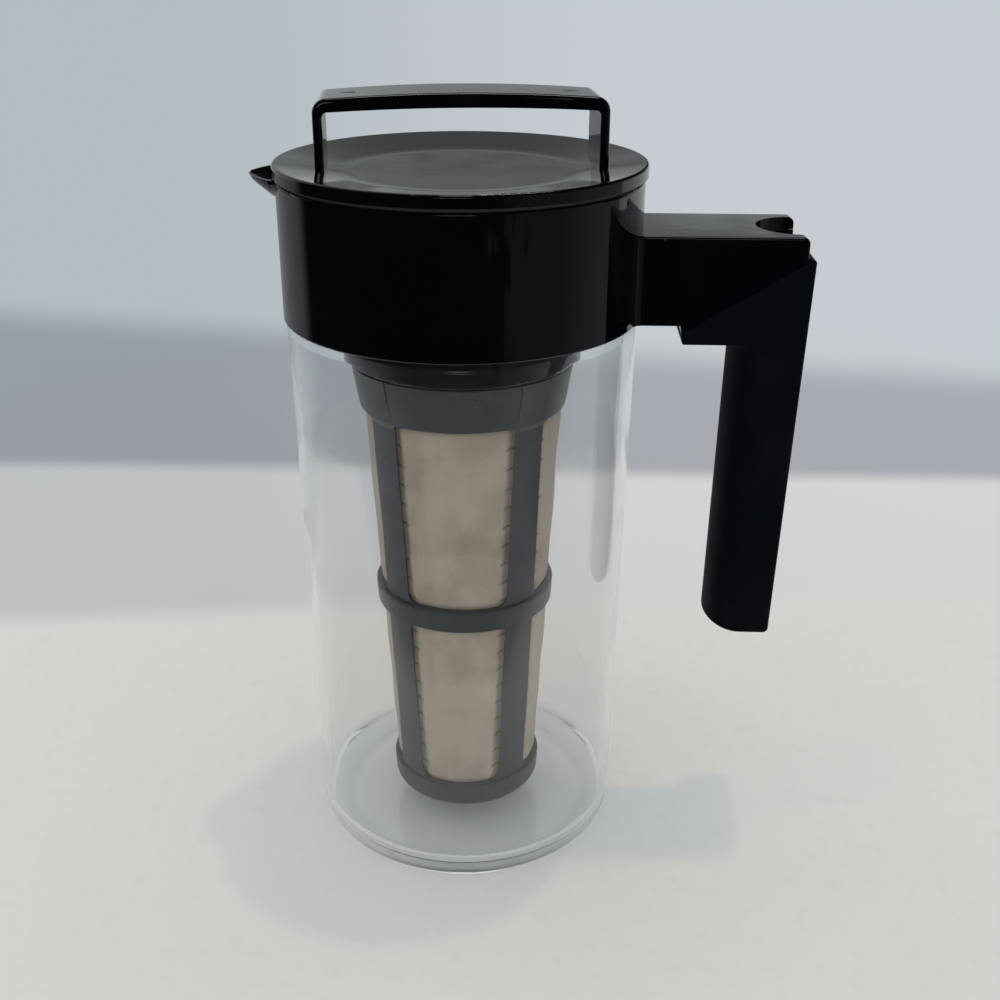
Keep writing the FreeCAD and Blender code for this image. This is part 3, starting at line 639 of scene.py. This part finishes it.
class AddBailArrows(bpy.types.Operator):
    """Add the two small raised arrows that point along the bail"""
    bl_idname = "coffee_maker.add_bail_arrows"
    bl_label = "Add Bail Arrows"

    def execute(self, context):
        look = settings().arrows
        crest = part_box("lid_bail")[1].z
        material = bpy.data.materials["black_gloss"]
        for name, way in (("arrow_to_spout", -1), ("arrow_to_handle", 1)):
            piece = new_piece(name, lambda shape: self.fill(shape, look, way, crest), material)
            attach(piece, "lid")
        return {"FINISHED"}

    def fill(self, shape, look, way, crest):
        """A flat-topped triangle whose sides slope in, following the bar's gentle crown."""
        stand = Matrix.Rotation(LID_REST_TURN, 3, "Z")
        base = look.place - look.length / 2
        tip = look.place + look.length / 2
        corners = ((base, -look.half_width), (tip, 0), (base, look.half_width))
        middle = Vector((look.place - look.length / 6, 0))

        def ring(rise, inset):
            verts = []
            for x, y in corners:
                spot = Vector((x, y))
                spot += (middle - spot).normalized() * inset
                top = crest - BAR_CROWN * (spot.x / BAR_HALF_LENGTH) ** 2
                verts.append(shape.verts.new(stand @ Vector((way * spot.x, spot.y, top + rise))))
            return verts

        foot = ring(-ARROW_SINK, 0)
        brow = ring(look.rise, ARROW_SLOPE)
        shape.faces.new(brow)
        shape.faces.new(list(reversed(foot)))
        for i in range(len(corners)):
            j = (i + 1) % len(corners)
            shape.faces.new((foot[i], foot[j], brow[j], brow[i]))


class FinishGrip(bpy.types.Operator):
    """Give the handle's grip its matt soft plastic"""
    bl_idname = "coffee_maker.finish_grip"
    bl_label = "Finish Grip"

    def execute(self, context):
        set_finish("handle_grip", soft_grip(settings().grip))
        return {"FINISHED"}


class FinishSeals(bpy.types.Operator):
    """Give the rim seal, the lid's gasket and the filter's washer their silicone"""
    bl_idname = "coffee_maker.finish_seals"
    bl_label = "Finish Seals"

    def execute(self, context):
        material = silicone(settings().seals)
        for node in ("rim_seal", "lid_gasket", "filter_seal"):
            set_finish(node, material)
        return {"FINISHED"}


class FinishFilterFrame(bpy.types.Operator):
    """Give the filter's frame its satin grey plastic"""
    bl_idname = "coffee_maker.finish_filter_frame"
    bl_label = "Finish Filter Frame"

    def execute(self, context):
        set_finish("filter_frame", filter_plastic(settings().filter))
        return {"FINISHED"}


class AddFilterSleeve(bpy.types.Operator):
    """Add the woven sleeve that swells and puckers in the frame's windows"""
    bl_idname = "coffee_maker.add_filter_sleeve"
    bl_label = "Add Filter Sleeve"

    def execute(self, context):
        look = settings().filter
        radius_at = SleeveShape(look)
        step = (radius_at.top - radius_at.bottom) / SLEEVE_LEVELS
        levels = [radius_at.bottom + step * i for i in range(SLEEVE_LEVELS + 1)]
        material = woven_mesh(look, (radius_at.low_radius + radius_at.high_radius) / 2)
        sleeve = new_piece(
            "filter_sleeve",
            lambda shape: closed_tube(shape, radius_at, levels, SLEEVE_STEPS, SLEEVE_THICKNESS),
            material)
        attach(sleeve, "filter")
        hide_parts("filter_mesh")
        return {"FINISHED"}


FLOOR_GAP = 0.2 * MM                    # air between the jug's base and the floor
FLOOR_RADIUS = 12
WALL_EDGE = (0.135, 0.163)              # how far behind the jug the floor turns into the wall
WALL_SLANT = 0.09
SHADE_EDGE = (0.31, 0.34)
FAR_EDGE = (0.53, 0.64)
FAR_SLANT = 0.17
LEFT_VIEW = (-0.3, 0.08)                # painted shade: the wall darkens from the second direction to the first
EDGE_WANDER = 0.03                      # how far those edges stray
EDGE_WANDER_SIZE = 0.5
EVEN_EDGE = (0.3, 0.8)                  # where the lit floor turns into an evenly bright one
MIRROR_EDGE = (0.4, 0.44)               # polished faces see the floor as far as this
MIRROR_FRONT_EDGE = (0.14, 0.2)         # and only as far as this in front of the jug
HAZE_TONE = (0.5, 0.5, 0.52, 1)
HAZE_SIZE = 0.12
HAZE_SHARE = 0.06
FLECK_TONE = (0.42, 0.39, 0.36, 1)
FLECK_SIZE = 7 * MM
FLECK_SHARE = 0.07

LEFT_WALL = (math.radians(104), math.radians(116))      # turn from the front at which it begins
RIGHT_WALL = (math.radians(112), math.radians(118))
LOW_LEFT, LOW_RIGHT = 0.3, 0.62         # how pale the walls are below the horizon
HORIZON = (-0.13, -0.07)
# how pale the wall behind is at each rise, which is the sine of the angle above level
WALL_BANDS = ((0, 0.57), (0.06, 0.37), (0.1, 0.35), (0.13, 0.33), (0.166, 0.165), (0.172, 0.21),
              (0.177, 0.28), (0.2, 0.27), (0.212, 0.28), (0.217, 0.35), (0.24, 0.34), (0.3, 0.25),
              (0.4, 0.21))
RIGHT_SLANT = (0.05, 0.13)              # the wall is paler to the right, below the dip's rise
LEFT_SLANT = (0.08, 0.2)
RIGHT_GAIN, LEFT_GAIN = 0.2, 0.12
DIP = (0.213, 0.217)
# a faint panel to the right of the room
PANEL_EDGE = (math.radians(28), math.radians(33))
PANEL_GROWTH = (math.radians(60), math.radians(95))
PANEL_TOP = (0.2, 0.4)
PANEL_WOBBLE = 1.1
PANEL_WOBBLE_SIZE = 0.09
PANEL_STRETCH = (1, 1, 3)
PANEL_LIGHT = 0.1
# a strip in front, low down, that rounded edges show as a thin line
STRIP_EDGE = (math.radians(8), math.radians(13))
STRIP_FOOT = (0, 0.02)
STRIP_TOP = (0.1, 0.13)
STRIP_LIGHT = 2.5
CEILING_LIGHT = 12
CEILING_PLACE = (0.1, 0.09)             # where it hangs and how far it reaches, per metre of height
CEILING_HALF_LENGTH = (0.19, 0.23)
CEILING_HALF_WIDTH = (0.05, 0.08)
ROOM_GLOW = 0.012                       # the least that a polished face sees
JUG_FRONT, JUG_SIDES = 0.12, 0.5        # what faces seen through the jug mirror
SIDES = (math.radians(50), math.radians(95))

# name, place, width, share of the lamp's power, and whether polished faces show it
LAMPS = (("ceiling_lamp", (0.29, 0.26, 3.0), 0.09, 1, False),
         ("second_lamp", (-0.69, -0.24, 3.0), 0.2, 1 / 3, False),
         ("left_spot", (-0.35, 0.25, 1.7), 0.07, 1 / 30, True),
         ("right_spot", (0.45, 0.25, 1.7), 0.07, 1 / 30, True))
LAMP_TARGET = Vector((0, 0, 0.12))


class SetStage(bpy.types.Operator):
    """Lay the pale floor, set the soft light and stand the camera in front"""
    bl_idname = "coffee_maker.set_stage"
    bl_label = "Set Stage"

    def execute(self, context):
        look = settings().studio
        self.lay_floor(look)
        self.light_room(look)
        for name, place, width, share, mirrored in LAMPS:
            self.hang_lamp(look, name, Vector(place), width, look.lamp_power * share, mirrored)
        self.stand_camera(look)
        context.scene.view_settings.view_transform = "Standard"
        return {"FINISHED"}

    def lay_floor(self, look):
        """Pale floor near the object that turns into an even backdrop further off."""
        material, shader = new_material("studio_floor")
        place = shader.place()
        across = shader.add("ShaderNodeSeparateXYZ", inputs={"Vector": place}, output="X")
        along = across.output("Y")
        distance = ((across * across) + (along * along)) ** 0.5
        tone = self.floor_tone(shader, look, place, across, along)
        lit = shader.add("ShaderNodeBsdfDiffuse", inputs={"Color": tone})
        even = shader.add("ShaderNodeEmission", inputs={"Color": tone})
        surface = shader.add("ShaderNodeMixShader",
                             inputs={0: distance.ease(*EVEN_EDGE), 1: lit, 2: even})
        unseen = shader.add("ShaderNodeBsdfTransparent")
        edge = distance.ease(*MIRROR_EDGE).largest((0 - along).ease(*MIRROR_FRONT_EDGE))
        beyond = mirror_rays(shader) * edge
        surface = shader.add("ShaderNodeMixShader", inputs={0: beyond, 1: surface, 2: unseen})
        shader.finish(surface)

        def disc(shape):
            level = Matrix.Translation((0, 0, -FLOOR_GAP))
            bmesh.ops.create_circle(shape, cap_ends=True, segments=128, radius=FLOOR_RADIUS,
                                    matrix=level)

        floor = new_piece("studio_floor", disc, material)

    def floor_tone(self, shader, look, place, across, along):
        """Colour of the floor and of the wall behind it, with a painted shade band, painted shade to the
        left, haze and flecks.
        """
        unevenness = shader.grain(place, EDGE_WANDER_SIZE, detail=2)
        drift = along + EDGE_WANDER * (unevenness - 0.5)
        wall = (drift - WALL_SLANT * across).ease(*WALL_EDGE)
        tone = shader.mix(wall, look.floor_colour, look.wall_colour)
        tone = shader.mix(drift.ease(*SHADE_EDGE), tone, look.shade_colour)
        tone = shader.mix((drift + FAR_SLANT * across).ease(*FAR_EDGE), tone, look.far_colour)
        view = (across - look.camera_place[0]) / (along - look.camera_place[1])
        # painted shade: the wall darker to the left
        left = wall * (1 - view.ease(*LEFT_VIEW))
        tone = shader.add("ShaderNodeMix", {"data_type": "RGBA", "blend_type": "MULTIPLY"},
                          {0: left, 6: tone, 7: look.left_shade_tint}, 2)
        haze = shader.grain(place, HAZE_SIZE, detail=3)
        tone = shader.mix(HAZE_SHARE * haze, tone, HAZE_TONE)
        fleck = shader.grain(place, FLECK_SIZE, detail=4).ease(0.5, 0.75) * (1 - wall)
        return shader.mix(FLECK_SHARE * fleck, tone, FLECK_TONE)

    def light_room(self, look):
        """Even light all round, and for polished faces pale walls behind and a dark room in front."""
        world = bpy.data.worlds.new("studio_room")
        bpy.context.scene.world = world
        world.use_nodes = True
        shader = Shader(world.node_tree)
        way = shader.add("ShaderNodeTexCoord", output="Generated")
        axes = shader.add("ShaderNodeSeparateXYZ", inputs={"Vector": way}, output="X")
        turn = axes.math("ARCTAN2", axes, 0 - axes.output("Y"))
        rise = axes.output("Z")
        bright = self.wall_light(shader, axes, turn, rise)
        bright = bright.largest(self.panel_light(shader, way, turn, rise))
        strip = (1 - abs(turn).ease(*STRIP_EDGE)) * rise.ease(*STRIP_FOOT)
        bright = bright.largest(STRIP_LIGHT * strip * (1 - rise.ease(*STRIP_TOP)))
        bright = bright.largest(CEILING_LIGHT * self.ceiling_light(axes, rise)) + ROOM_GLOW
        mirrored = mirror_rays(shader)
        rays = shader.add("ShaderNodeLightPath", output="Is Camera Ray")
        sideways = abs(turn).ease(*SIDES)
        through_jug = rays.output("Transmission Depth").above(0.5)
        bright = bright.largest(through_jug * (JUG_FRONT + JUG_SIDES * sideways))
        seen = rays.largest(rays.output("Is Transmission Ray")) * (1 - mirrored)
        strength = look.room_light * (1 - mirrored) * (1 - seen) + bright * mirrored + seen
        colour = shader.mix(seen, look.room_colour, look.wall_colour)
        light = shader.add("ShaderNodeBackground", inputs={"Color": colour, "Strength": strength})
        shader.add("ShaderNodeOutputWorld", inputs={"Surface": light})

    def wall_light(self, shader, axes, turn, rise):
        """Pale walls behind the object, with bands at low rises and darker below the horizon."""
        left = (0 - turn).ease(*LEFT_WALL)
        right = turn.ease(*RIGHT_WALL)
        low = (LOW_LEFT * left).largest(LOW_RIGHT * right)
        slant = axes / axes.output("Y")
        bands = [(2 * level, (grey, grey, grey, 1)) for level, grey in WALL_BANDS]
        high = shader.add("ShaderNodeValToRGB", {"stops": bands}, {"Fac": 2 * rise})
        dip = 1 - 2 * rise.ease(*DIP)
        high = left.largest(right) * (high + RIGHT_GAIN * dip * slant.ease(*RIGHT_SLANT)
                                      + LEFT_GAIN * (0 - slant).ease(*LEFT_SLANT))
        lifted = rise.ease(*HORIZON)
        return low * (1 - lifted) + high * lifted

    def panel_light(self, shader, way, turn, rise):
        """A faint panel to the right with a wavering edge."""
        wobble = shader.grain(shader.stretched(way, PANEL_STRETCH), PANEL_WOBBLE_SIZE) - 0.5
        panel = (turn + PANEL_WOBBLE * wobble).ease(*PANEL_EDGE)
        light = PANEL_LIGHT + PANEL_LIGHT * turn.ease(*PANEL_GROWTH)
        return panel * light * (1 - rise.ease(*PANEL_TOP))

    def ceiling_light(self, axes, rise):
        """1 towards a long lamp on the ceiling, which polished edges show as a thin line."""
        across = abs(axes / rise - CEILING_PLACE[0])
        along = abs(axes.output("Y") / rise - CEILING_PLACE[1])
        inside = 1 - across.ease(*CEILING_HALF_LENGTH)
        return inside * (1 - along.ease(*CEILING_HALF_WIDTH)) * rise.above(0)

    def hang_lamp(self, look, name, place, width, power, mirrored):
        light = bpy.data.lights.new(name, "AREA")
        light.shape = "DISK"
        light.size = width
        light.energy = power
        light.color = look.lamp_colour[:3]
        lamp = bpy.data.objects.new(name, light)
        lamp.location = place
        lamp.rotation_euler = (LAMP_TARGET - place).to_track_quat("-Z", "Y").to_euler()
        lamp.visible_glossy = mirrored
        lamp.visible_transmission = False
        bpy.context.scene.collection.objects.link(lamp)

    def stand_camera(self, look):
        lens = bpy.data.cameras.new("front_camera")
        lens.lens = look.focal_length
        camera = bpy.data.objects.new("front_camera", lens)
        forward = Vector(look.camera_look).normalized()
        level = forward.cross(UP).normalized()
        right = Matrix.Rotation(-look.camera_roll, 3, forward) @ level
        up = right.cross(forward)
        turn = Matrix((right, up, -forward)).transposed()
        camera.matrix_world = Matrix.Translation(look.camera_place) @ turn.to_4x4()
        bpy.context.scene.collection.objects.link(camera)
        bpy.context.scene.camera = camera


class CoffeeMakerPanel(bpy.types.Panel):
    """Steps that dress the coffee maker, in order"""
    bl_idname = "COFFEE_PT_maker"
    bl_label = "Coffee Maker"
    bl_space_type = "VIEW_3D"
    bl_region_type = "UI"
    bl_category = "Coffee Maker"

    def draw(self, context):
        for step in STEPS:
            self.layout.operator(step.bl_idname)


STEPS = (FinishJug, FinishMouldings, AddBailArrows, FinishGrip, FinishSeals, FinishFilterFrame,
         AddFilterSleeve, SetStage)
GROUPS = (ClearPlasticSettings, GlossPlasticSettings, GripSettings, SealSettings, FilterSettings,
          BailArrowSettings, StudioSettings, CoffeeMakerSettings)


def register():
    for kind in GROUPS + STEPS + (CoffeeMakerPanel,):
        bpy.utils.register_class(kind)
    bpy.types.Scene.coffee_maker = PointerProperty(type=CoffeeMakerSettings)


def unregister():
    del bpy.types.Scene.coffee_maker
    for kind in reversed(GROUPS + STEPS + (CoffeeMakerPanel,)):
        bpy.utils.unregister_class(kind)


def main():
    register()
    bpy.ops.coffee_maker.finish_jug()
    bpy.ops.coffee_maker.finish_mouldings()
    bpy.ops.coffee_maker.add_bail_arrows()
    bpy.ops.coffee_maker.finish_grip()
    bpy.ops.coffee_maker.finish_seals()
    bpy.ops.coffee_maker.finish_filter_frame()
    bpy.ops.coffee_maker.add_filter_sleeve()
    bpy.ops.coffee_maker.set_stage()


if __name__ == "__main__":
    main()
